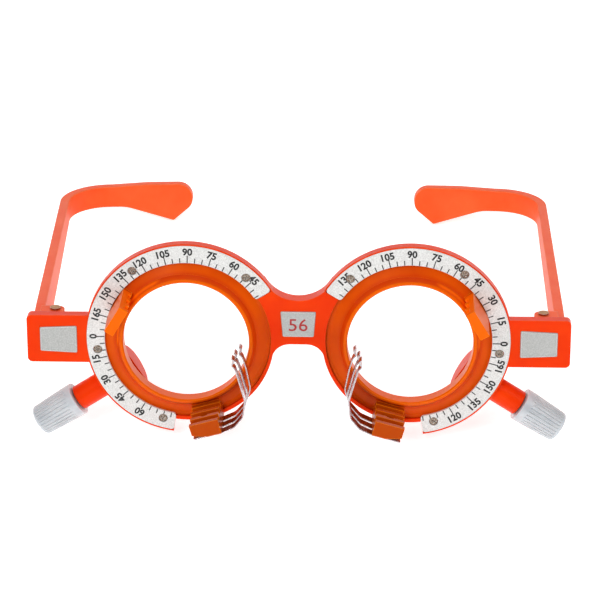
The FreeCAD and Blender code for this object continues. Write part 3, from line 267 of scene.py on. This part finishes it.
def steel(name, base, dark, roughness, brush=(1.0, 1.0, 1.0)):
    """Turned or rolled metal with fine brush lines and a few dark stains."""
    material, nodes, links, shader = new_material(name)
    coordinates = object_coordinates(nodes)
    stretched = nodes.new("ShaderNodeMapping")
    stretched.inputs["Scale"].default_value = brush
    links.new(coordinates, stretched.inputs["Vector"])
    lines = noise(nodes, links, stretched.outputs["Vector"], scale=3.0, detail=4.0, roughness=0.5)
    stains = spread(nodes, links, noise(nodes, links, coordinates, scale=0.5), low=0.0, high=0.35)
    colour = ramp(nodes, links, lines, [(0.3, dark), (0.62, base)])
    colour = tint(nodes, links, stains, colour, dark)
    # painted highlight: the metal's edges are tinted near white
    surface(nodes, links, shader, colour, STEEL_EDGE_HIGHLIGHT, lines,
            rounding=0.12, roughness=roughness, relief=(0.1, 0.01))
    shader.inputs["Metallic"].default_value = 1.0
    return material


def pale_plastic(name, base, deep, edge_highlight):
    """Pale, slightly see-through plastic, bluish in its depth, with a painted white highlight along its
    ribs.
    """
    material, nodes, links, shader = new_material(name)
    coordinates = object_coordinates(nodes)
    clouds = noise(nodes, links, coordinates, scale=0.25)
    colour = ramp(nodes, links, clouds, [(0.32, deep), (0.70, base)])
    grain = noise(nodes, links, coordinates, scale=2.0, detail=4.0)
    surface(nodes, links, shader, colour, edge_highlight, grain,
            rounding=0.18, roughness=(0.22, 0.38), relief=(0.08, 0.03))
    set_inputs(shader, PALE_PLASTIC)
    return material


def ink(name, colour, second):
    """Printed ink: slightly uneven and matt."""
    material, nodes, links, shader = new_material(name)
    blots = noise(nodes, links, object_coordinates(nodes), scale=4.0, detail=2.0)
    links.new(ramp(nodes, links, blots, [(0.35, colour), (0.7, second)]), shader.inputs["Base Color"])
    links.new(spread(nodes, links, blots, low=0.45, high=0.65), shader.inputs["Roughness"])
    return material


# ---------------------------------------------------------------- colours and finishes
ORANGE = (0.84, 0.046, 0.0015)
ORANGE_DEEP = (0.76, 0.028, 0.001)
# painted highlight along the frame's edges
ORANGE_EDGE_HIGHLIGHT = (0.93, 0.10, 0.015)
CELL = (0.72, 0.088, 0.0005)
CELL_DEEP = (0.60, 0.056, 0.0005)
# painted highlight along the cells' edges
CELL_EDGE_HIGHLIGHT = (0.95, 0.25, 0.002)
# painted highlight: a brighter band on the lip round the cell's bore
CELL_LIP_HIGHLIGHT = (0.78, 0.11, 0.0005)
# painted shade: a darker band in the hollow between the cell's outer slope and its lip
CELL_VALLEY_SHADE = (0.60, 0.042, 0.001)
# painted light: the upper guide is a lit, brighter copy of the cell's orange
UPPER_GUIDE_PAINTED_LIGHT = (0.92, 0.13, 0.0005)
# painted shade: the lower guide is a shaded, browner copy of the cell's orange
LOWER_GUIDE_PAINTED_SHADE = (0.46, 0.058, 0.001)
CORAL = (0.97, 0.130, 0.034)
CORAL_DEEP = (0.93, 0.092, 0.018)
# painted highlight along the temples' edges
CORAL_EDGE_HIGHLIGHT = (1.0, 0.20, 0.07)
DIAL = (0.70, 0.705, 0.69)
DIAL_DARK = (0.58, 0.585, 0.57)
# DIAL_LIGHT is both the light speckle and a painted highlight along the dial plates' edges
DIAL_LIGHT = (0.82, 0.825, 0.81)
BADGE = (0.44, 0.45, 0.435)
BADGE_DARK = (0.37, 0.38, 0.37)
# BADGE_LIGHT is both the light speckle and a painted highlight along the badges' edges
BADGE_LIGHT = (0.52, 0.53, 0.52)
RIM = (0.66, 0.66, 0.65)
RIM_DARK = (0.40, 0.40, 0.39)
BRASS = (0.52, 0.26, 0.10)
BRASS_DARK = (0.22, 0.09, 0.03)
SCREW = (0.40, 0.33, 0.26)
SCREW_DARK = (0.06, 0.035, 0.02)
SPRING = (0.60, 0.60, 0.63)
SPRING_DARK = (0.30, 0.22, 0.22)
SPRING_BRUSH = (1.0, 0.15, 1.0)           # lines that run front to back
# painted highlight along the edges of all metal parts
STEEL_EDGE_HIGHLIGHT = (0.93, 0.93, 0.94)
KNOB = (0.58, 0.61, 0.635)
KNOB_DEEP = (0.46, 0.49, 0.52)
# painted highlight along the knobs' ribs and edges
KNOB_EDGE_HIGHLIGHT = (0.84, 0.86, 0.87)

# bands of a cell's painted shade, painted highlight and guide colours, as (inner radius, outer radius,
# softness) in millimetres
VALLEY_SHADE_BAND = (16.9, 18.0, 0.5)
LIP_HIGHLIGHT_BAND = (15.0, 16.6, 0.2)
GUIDE_BAND = (16.9, 30.0, 0.2)
# the guides start past these planes, as (distance from the cell's centre, softness) in millimetres
GUIDE_FRONT = (0.5, 0.25)
GUIDE_SIDE = (14.0, 0.5)
# angles of the left cell's guides, seen from the front; the right cell's are mirrored
LOWER_GUIDE_ANGLE = 285.5
UPPER_GUIDE_ANGLE = 149.0


def cell_patches(side):
    """Patches of painted light and shade on a cell: painted shade in the valley, a painted highlight on
    the lip, and the two lens guides, the upper painted lit and the lower painted shaded.
    """
    centre = CELLS[side]

    def round_band(measures):
        return lambda nodes, links: band(nodes, links, centre, *measures)

    def guide(angle):
        direction = outwards(angle if side == "left" else 180 - angle)

        def mask(nodes, links):
            in_front = beyond(nodes, links, centre, -BACK, *GUIDE_FRONT)
            on_side = beyond(nodes, links, centre, direction, *GUIDE_SIDE)
            outside_lip = band(nodes, links, centre, *GUIDE_BAND)
            return product(nodes, links, in_front, on_side, outside_lip)
        return mask

    return ((round_band(VALLEY_SHADE_BAND), CELL_VALLEY_SHADE), (round_band(LIP_HIGHLIGHT_BAND), CELL_LIP_HIGHLIGHT),
            (guide(LOWER_GUIDE_ANGLE), LOWER_GUIDE_PAINTED_SHADE), (guide(UPPER_GUIDE_ANGLE), UPPER_GUIDE_PAINTED_LIGHT))


def cell_plastic(side):
    """The plastic of a cell, with its own patches of painted light and shade."""
    return moulding(f"{side}_cell_orange", CELL, CELL_DEEP, CELL_EDGE_HIGHLIGHT,
                    roughness=(0.24, 0.40), rounding=0.25, patches=cell_patches(side))


FINISHES = {
    "frame_plastic": moulding("frame_orange", ORANGE, ORANGE_DEEP, ORANGE_EDGE_HIGHLIGHT,
                              roughness=(0.26, 0.42), rounding=0.35),
    "temple_plastic": moulding("temple_coral", CORAL, CORAL_DEEP, CORAL_EDGE_HIGHLIGHT,
                               roughness=(0.36, 0.52), rounding=0.6),
    "dial_plate": speckled("dial_grey", DIAL, DIAL_DARK, DIAL_LIGHT,
                           roughness=(0.42, 0.62), metallic=0.0),
    "badge_metal": speckled("badge_grey", BADGE, BADGE_DARK, BADGE_LIGHT,
                            roughness=(0.37, 0.57), metallic=0.3),
    "screw_steel": steel("screw_steel", SCREW, SCREW_DARK, roughness=(0.18, 0.37)),
    "spring_steel": steel("spring_steel", SPRING, SPRING_DARK, roughness=(0.11, 0.30), brush=SPRING_BRUSH),
    "knob_plastic": pale_plastic("knob_plastic_pale", KNOB, KNOB_DEEP, KNOB_EDGE_HIGHLIGHT),
}
CELL_FINISHES = {side: cell_plastic(side) for side in SIDES}
badge_rim = steel("badge_rim_steel", RIM, RIM_DARK, roughness=(0.23, 0.42))
pin_brass = steel("pin_brass", BRASS, BRASS_DARK, roughness=(0.27, 0.46))
black_ink = ink("black_ink", (0.006, 0.006, 0.007), (0.020, 0.020, 0.021))
red_ink = ink("dark_red_ink", (0.34, 0.006, 0.008), (0.42, 0.012, 0.012))


def finish_of(entry):
    """The material of a CAD node: brass for a hinge pin, else the one of its slot."""
    if entry["node"].endswith("hinge_pin"):
        return pin_brass
    if entry["material_slot"] == "cell_plastic":
        return CELL_FINISHES[entry["node"].split("_")[0]]
    return FINISHES[entry["material_slot"]]


for subpart in frame["record"]["subparts"]:
    materials = frame["nodes"][subpart["node"]].data.materials
    for slot_index in range(len(materials)):
        materials[slot_index] = finish_of(subpart)


# ---------------------------------------------------------------- added pieces
def mesh_from(build, name):
    """A mesh of what was built."""
    mesh = bpy.data.meshes.new(name)
    build.to_mesh(mesh)
    build.free()
    return mesh


def add_to_scene(name, data):
    """A new object in the scene."""
    piece = bpy.data.objects.new(name, data)
    bpy.context.scene.collection.objects.link(piece)
    return piece


def evaluated_mesh(piece):
    """A mesh of an object with its modifiers; the object itself is removed."""
    bpy.context.view_layer.update()
    mesh = bpy.data.meshes.new_from_object(piece.evaluated_get(bpy.context.evaluated_depsgraph_get()))
    bpy.data.objects.remove(piece)
    return mesh


def solid_from(mesh, name, body, material):
    """A finished piece: a mesh object that rides on a body."""
    mesh.materials.append(material)
    piece = add_to_scene(name, mesh)
    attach(piece, body)


# ---------------------------------------------------------------- printed marks, in millimetres
PRINT_BACK = 0.01          # where a print starts, behind the dial's face
PRINT_DEPTH = 0.03
DIAL_MARKS = range(35, 261, 5)                # angles of the left dial's marks; the right's are mirrored
NUMBER_STEP = 15           # every third mark is long and has a number
LAST_NUMBER = 245          # past this mark there is no number
DIAL_TURN = {"left": -1.4, "right": -0.5}     # the printed dials sit slightly turned on their plates
TICK_START = 0.05          # from the dial plate's inner edge
TICK_SHORT = 1.25
TICK_LONG = 1.95
TICK_WIDTH = 0.26
NUMBER_RADIUS = 23.4
NUMBER_HEIGHT = 1.95
NUMBER_WEIGHT = 0.036
CURVE_STEPS = 3
SCREW_REACH = 6.0          # points this near to each other belong to one screw
HOLE_RADIUS = 1.12
HOLE_LENGTH = 20.0
HOLE_SEGMENTS = 32
HALF_TURN = Matrix.Rotation(math.pi, 4, "Z")

dial_vertices = frame["nodes"]["left_dial_plate"].data.vertices
DIAL_INNER = min(distance_from_axis(vertex.co, "left") for vertex in dial_vertices)


def print_frame(side, angle, radius):
    """Matrix of a print on a dial's face: its X goes along the dial and its Y outwards."""
    out = outwards(angle)
    along = outwards(angle - 90)
    matrix = Matrix((along, out, -BACK)).transposed().to_4x4()
    matrix.translation = CELLS[side] + out * (radius * MM) + BACK * (PRINT_BACK * MM)
    return matrix


def add_block(build, matrix, width, height):
    """A thin printed rectangle that stands on the matrix's origin."""
    corners = [(-width / 2, 0), (width / 2, 0), (width / 2, height), (-width / 2, height)]
    levels = [[build.verts.new(matrix @ Vector((x * MM, y * MM, z * MM))) for x, y in corners]
              for z in (0.0, PRINT_DEPTH)]
    build.faces.new(levels[0][::-1])
    build.faces.new(levels[1])
    for i in range(4):
        j = (i + 1) % 4
        build.faces.new((levels[0][i], levels[0][j], levels[1][j], levels[1][i]))


def text_mesh(words, height, weight, width):
    """Flat raised figures, centred on the origin; width stretches them sideways."""
    curve = bpy.data.curves.new("figures", "FONT")
    curve.body = words
    curve.size = 1.0
    curve.offset = weight
    curve.align_x = "CENTER"
    curve.resolution_u = CURVE_STEPS
    curve.extrude = 0.5 * PRINT_DEPTH / height
    mesh = evaluated_mesh(add_to_scene("figures", curve))
    bpy.data.curves.remove(curve)
    low = [min(vertex.co[k] for vertex in mesh.vertices) for k in range(3)]
    high = [max(vertex.co[k] for vertex in mesh.vertices) for k in range(3)]
    middle = [(a + b) / 2 for a, b in zip(low, high)]
    scale = height * MM / (high[1] - low[1])
    depth_scale = PRINT_DEPTH * MM / (high[2] - low[2])
    for vertex in mesh.vertices:
        x, y, z = vertex.co
        vertex.co = ((x - middle[0]) * scale * width, (y - middle[1]) * scale, (z - low[2]) * depth_scale)
    return mesh


def add_text(build, matrix, words, height, weight, width=1.0):
    """Adds printed figures to what is being built."""
    mesh = text_mesh(words, height, weight, width)
    mesh.transform(matrix)
    build.from_mesh(mesh)
    bpy.data.meshes.remove(mesh)


def screw_centres(side):
    """Middle of each dial screw."""
    points = [vertex.co for vertex in frame["nodes"][f"{side}_dial_screws"].data.vertices]
    centres = []
    while points:
        first = points[0]
        near = [point for point in points if (point - first).length < SCREW_REACH * MM]
        points = [point for point in points if (point - first).length >= SCREW_REACH * MM]
        centres.append(sum(near, Vector()) / len(near))
    return centres


def without_holes(mesh, side):
    """The marks with the dial screws' holes cut out of them."""
    build = bmesh.new()
    for centre in screw_centres(side):
        bmesh.ops.create_cone(build, cap_ends=True, segments=HOLE_SEGMENTS, radius1=HOLE_RADIUS * MM,
                              radius2=HOLE_RADIUS * MM, depth=HOLE_LENGTH * MM,
                              matrix=Matrix.Translation(centre) @ FACING)
    cutter = add_to_scene("hole_cutters", mesh_from(build, "hole_cutters"))
    marks = add_to_scene("uncut_marks", mesh)
    modifier = marks.modifiers.new("holes", "BOOLEAN")
    modifier.object = cutter
    modifier.operation = "DIFFERENCE"
    modifier.solver = "EXACT"
    cut = evaluated_mesh(marks)
    bpy.data.objects.remove(cutter)
    return cut


def dial_marks(side):
    """The tick marks and numbers printed on a dial plate."""
    build = bmesh.new()
    for mark in DIAL_MARKS:
        angle = mark if side == "left" else 180 - mark
        printed_angle = angle + DIAL_TURN[side]
        major = mark % NUMBER_STEP == 0
        tick_frame = print_frame(side, printed_angle, DIAL_INNER + TICK_START)
        add_block(build, tick_frame, TICK_WIDTH, TICK_LONG if major else TICK_SHORT)
        if major and mark <= LAST_NUMBER:
            number_frame = print_frame(side, printed_angle, NUMBER_RADIUS)
            if side == "right" and angle < 0:
                number_frame = number_frame @ HALF_TURN
            add_text(build, number_frame, str(angle % 180), NUMBER_HEIGHT, NUMBER_WEIGHT)
    name = f"{side}_dial_marks"
    solid_from(without_holes(mesh_from(build, name), side), name, "front", black_ink)


for side in SIDES:
    dial_marks(side)


# ---------------------------------------------------------------- badges, in millimetres
RIM_WIDTH = 0.24
RIM_RISE = 0.10
RIM_ROOT = 0.04            # how far the rim reaches into the badge
RIM_CORNER = 0.4
RIM_CREST = (0.3, 0.7)     # where the crest starts and ends, as shares of the width
CORNER_STEPS = 5
FACE_SLACK = 0.02
CORNER_LEAN = 1.2          # height counts this much more than width when a corner is looked for
SIZE_MARK_HEIGHT = 3.3
SIZE_MARK_WEIGHT = 0.004
SIZE_MARK_WIDTH = 1.1
SIZE_MARK_LEVEL = 4.25     # above the cells' axes
SIZE_MARK_SINK = 0.02


def rounded(corners, radius):
    """A polygon with its corners rounded; the corners are given anticlockwise."""
    result = []
    count = len(corners)
    for i in range(count):
        point = Vector(corners[i])
        before = (Vector(corners[i - 1]) - point).normalized()
        after = (Vector(corners[(i + 1) % count]) - point).normalized()
        half = before.angle(after) / 2
        centre = point + (before + after).normalized() * (radius / math.sin(half))
        start = point + before * (radius / math.tan(half)) - centre
        end = point + after * (radius / math.tan(half)) - centre
        sweep = start.angle_signed(end)
        for k in range(CORNER_STEPS + 1):
            result.append(centre + Matrix.Rotation(-sweep * k / CORNER_STEPS, 2) @ start)
    return result


def inset(points, distance):
    """A polygon moved inwards."""
    result = []
    for i in range(len(points)):
        before = (points[i] - points[i - 1]).normalized()
        after = (points[(i + 1) % len(points)] - points[i]).normalized()
        normal = Vector((-(before + after).y, (before + after).x)).normalized()
        result.append(points[i] + normal * distance)
    return result


def badge_face(node):
    """Corners of a badge's face, anticlockwise from the bottom left, and the face's depth."""
    inverse = LOCAL.inverted()
    points = [inverse @ vertex.co / MM for vertex in frame["nodes"][node].data.vertices]
    front = min(point.y for point in points)
    face = [(point.x, point.z) for point in points if point.y < front + FACE_SLACK]
    middle_x = sum(x for x, _ in face) / len(face)
    middle_z = sum(z for _, z in face) / len(face)

    def furthest(right, up):
        return max(face, key=lambda p: right * (p[0] - middle_x) + CORNER_LEAN * up * (p[1] - middle_z))

    return [furthest(-1, -1), furthest(1, -1), furthest(1, 1), furthest(-1, 1)], front


def badge_edge(node):
    """A bright bevelled rim round a badge."""
    corners, face = badge_face(node)
    outline = rounded(corners, RIM_CORNER)
    crest_out, crest_in = (inset(outline, RIM_WIDTH * share) for share in RIM_CREST)
    inner = inset(outline, RIM_WIDTH)
    build = bmesh.new()
    loops = []
    for loop, depth in ((outline, RIM_ROOT), (crest_out, -RIM_RISE),
                        (crest_in, -RIM_RISE), (inner, RIM_ROOT)):
        loops.append([build.verts.new(place(x, face + depth, z)) for x, z in loop])
    for k in range(len(loops)):
        first, second = loops[k], loops[(k + 1) % len(loops)]
        for i in range(len(outline)):
            j = (i + 1) % len(outline)
            build.faces.new((first[i], second[i], second[j], first[j]))
    bmesh.ops.recalc_face_normals(build, faces=build.faces)
    solid_from(mesh_from(build, f"{node}_rim"), f"{node}_rim", "front", badge_rim)


def size_mark():
    """The distance between the cells' centres, printed on the bridge badge."""
    _, face = badge_face("bridge_badge")
    distance = (CELLS["right"] - CELLS["left"]).length / MM
    matrix = Matrix.Translation(place(0, face + SIZE_MARK_SINK, SIZE_MARK_LEVEL)) @ FACING
    build = bmesh.new()
    add_text(build, matrix, str(round(distance)), SIZE_MARK_HEIGHT, SIZE_MARK_WEIGHT, SIZE_MARK_WIDTH)
    solid_from(mesh_from(build, "size_mark"), "size_mark", "front", red_ink)


for badge in ("bridge_badge", "left_lug_badge", "right_lug_badge"):
    badge_edge(badge)
size_mark()


# ---------------------------------------------------------------- stage and light, in metres
FLOOR_HALF = 3.0
FLOOR_PROFILE = ((-2.5, 0.0), (1.6, 0.0), (2.0, 0.05), (2.3, 0.25), (2.5, 0.7), (2.5, 2.5))
FLOOR_TONES = ((0.3, (0.93, 0.93, 0.93)), (0.7, (0.96, 0.96, 0.96)))
FLOOR_SHADER = {
    "Roughness": 0.9,
    "Specular IOR Level": 0.1,
    "Emission Color": (1, 1, 1, 1),
    "Emission Strength": 0.58,      # the floor is lit from within, as on a light table
}
LIGHTS = {                          # place, target, width of the disc, and power in watts
    "key": ((-0.45, -0.85, 0.85), (0, 0, 0.03), 0.6, 6.5),
    "fill": ((0.9, -0.5, 0.7), (0, 0, 0.03), 0.8, 2.5),
    "top": ((0.1, -0.25, 1.3), (0, 0, 0.02), 0.9, 2.6),
}
SKY_TONES = ((0.0, (0.55, 0.55, 0.56)), (0.35, (0.75, 0.75, 0.76)), (0.8, (0.85, 0.85, 0.85)))
SKY_STRENGTH = 0.42


def floor():
    """A wide pale floor that turns up into a backdrop far behind the object."""
    build = bmesh.new()
    rows = [[build.verts.new((x, y, z)) for y, z in FLOOR_PROFILE] for x in (-FLOOR_HALF, FLOOR_HALF)]
    for i in range(len(FLOOR_PROFILE) - 1):
        build.faces.new((rows[0][i], rows[1][i], rows[1][i + 1], rows[0][i + 1]))
    mesh = mesh_from(build, "floor")
    material, nodes, links, shader = new_material("floor_white")
    tone = noise(nodes, links, object_coordinates(nodes), 0.02, 2.0)
    links.new(ramp(nodes, links, tone, FLOOR_TONES), shader.inputs["Base Color"])
    set_inputs(shader, FLOOR_SHADER)
    mesh.materials.append(material)
    add_to_scene("floor", mesh)


def area_light(name, position, target, size, power):
    """A round lamp that shines at a point."""
    light = bpy.data.lights.new(name, "AREA")
    light.shape = "DISK"
    light.size = size
    light.energy = power
    lamp = add_to_scene(name, light)
    lamp.location = position
    direction = Vector(target) - Vector(position)
    lamp.rotation_euler = direction.to_track_quat("-Z", "Y").to_euler()


def sky():
    """A soft grey sky, brighter towards the top."""
    world = bpy.data.worlds.new("studio")
    world.use_nodes = True
    nodes, links = world.node_tree.nodes, world.node_tree.links
    height = nodes.new("ShaderNodeSeparateXYZ")
    links.new(nodes.new("ShaderNodeTexCoord").outputs["Generated"], height.inputs["Vector"])
    background = nodes["Background"]
    links.new(ramp(nodes, links, height.outputs["Z"], SKY_TONES), background.inputs["Color"])
    background.inputs["Strength"].default_value = SKY_STRENGTH
    bpy.context.scene.world = world
    bpy.context.scene.view_settings.view_transform = "Standard"


floor()
for light_name, settings in LIGHTS.items():
    area_light(light_name, *settings)
sky()

# ---------------------------------------------------------------- camera
CAMERA_DISTANCE = 0.7      # metres
CAMERA_PITCH = 21.92       # degrees, looking down, in the object's own frame
CAMERA_YAW = -1.775
CAMERA_ROLL = -0.36
CAMERA_AIM = (0.34, 3.82, 9.46)      # millimetres, in the object's own frame
CAMERA_LENS = 168.0
CAMERA_SENSOR = 36.0
CAMERA_NEAR = 0.01


def add_camera():
    """A long lens that looks down at the object from the front."""
    pitch, yaw = math.radians(CAMERA_PITCH), math.radians(CAMERA_YAW)
    level = RIGHT * math.sin(yaw) + BACK * math.cos(yaw)
    ahead = level * math.cos(pitch) - UP * math.sin(pitch)
    data = bpy.data.cameras.new("camera")
    data.lens = CAMERA_LENS
    data.sensor_width = CAMERA_SENSOR
    data.clip_start = CAMERA_NEAR
    camera = add_to_scene("camera", data)
    camera.location = place(*CAMERA_AIM) - ahead * CAMERA_DISTANCE
    roll = Quaternion((0, 0, 1), math.radians(CAMERA_ROLL))
    camera.rotation_euler = (ahead.to_track_quat("-Z", "Y") @ roll).to_euler()
    bpy.context.scene.camera = camera


add_camera()
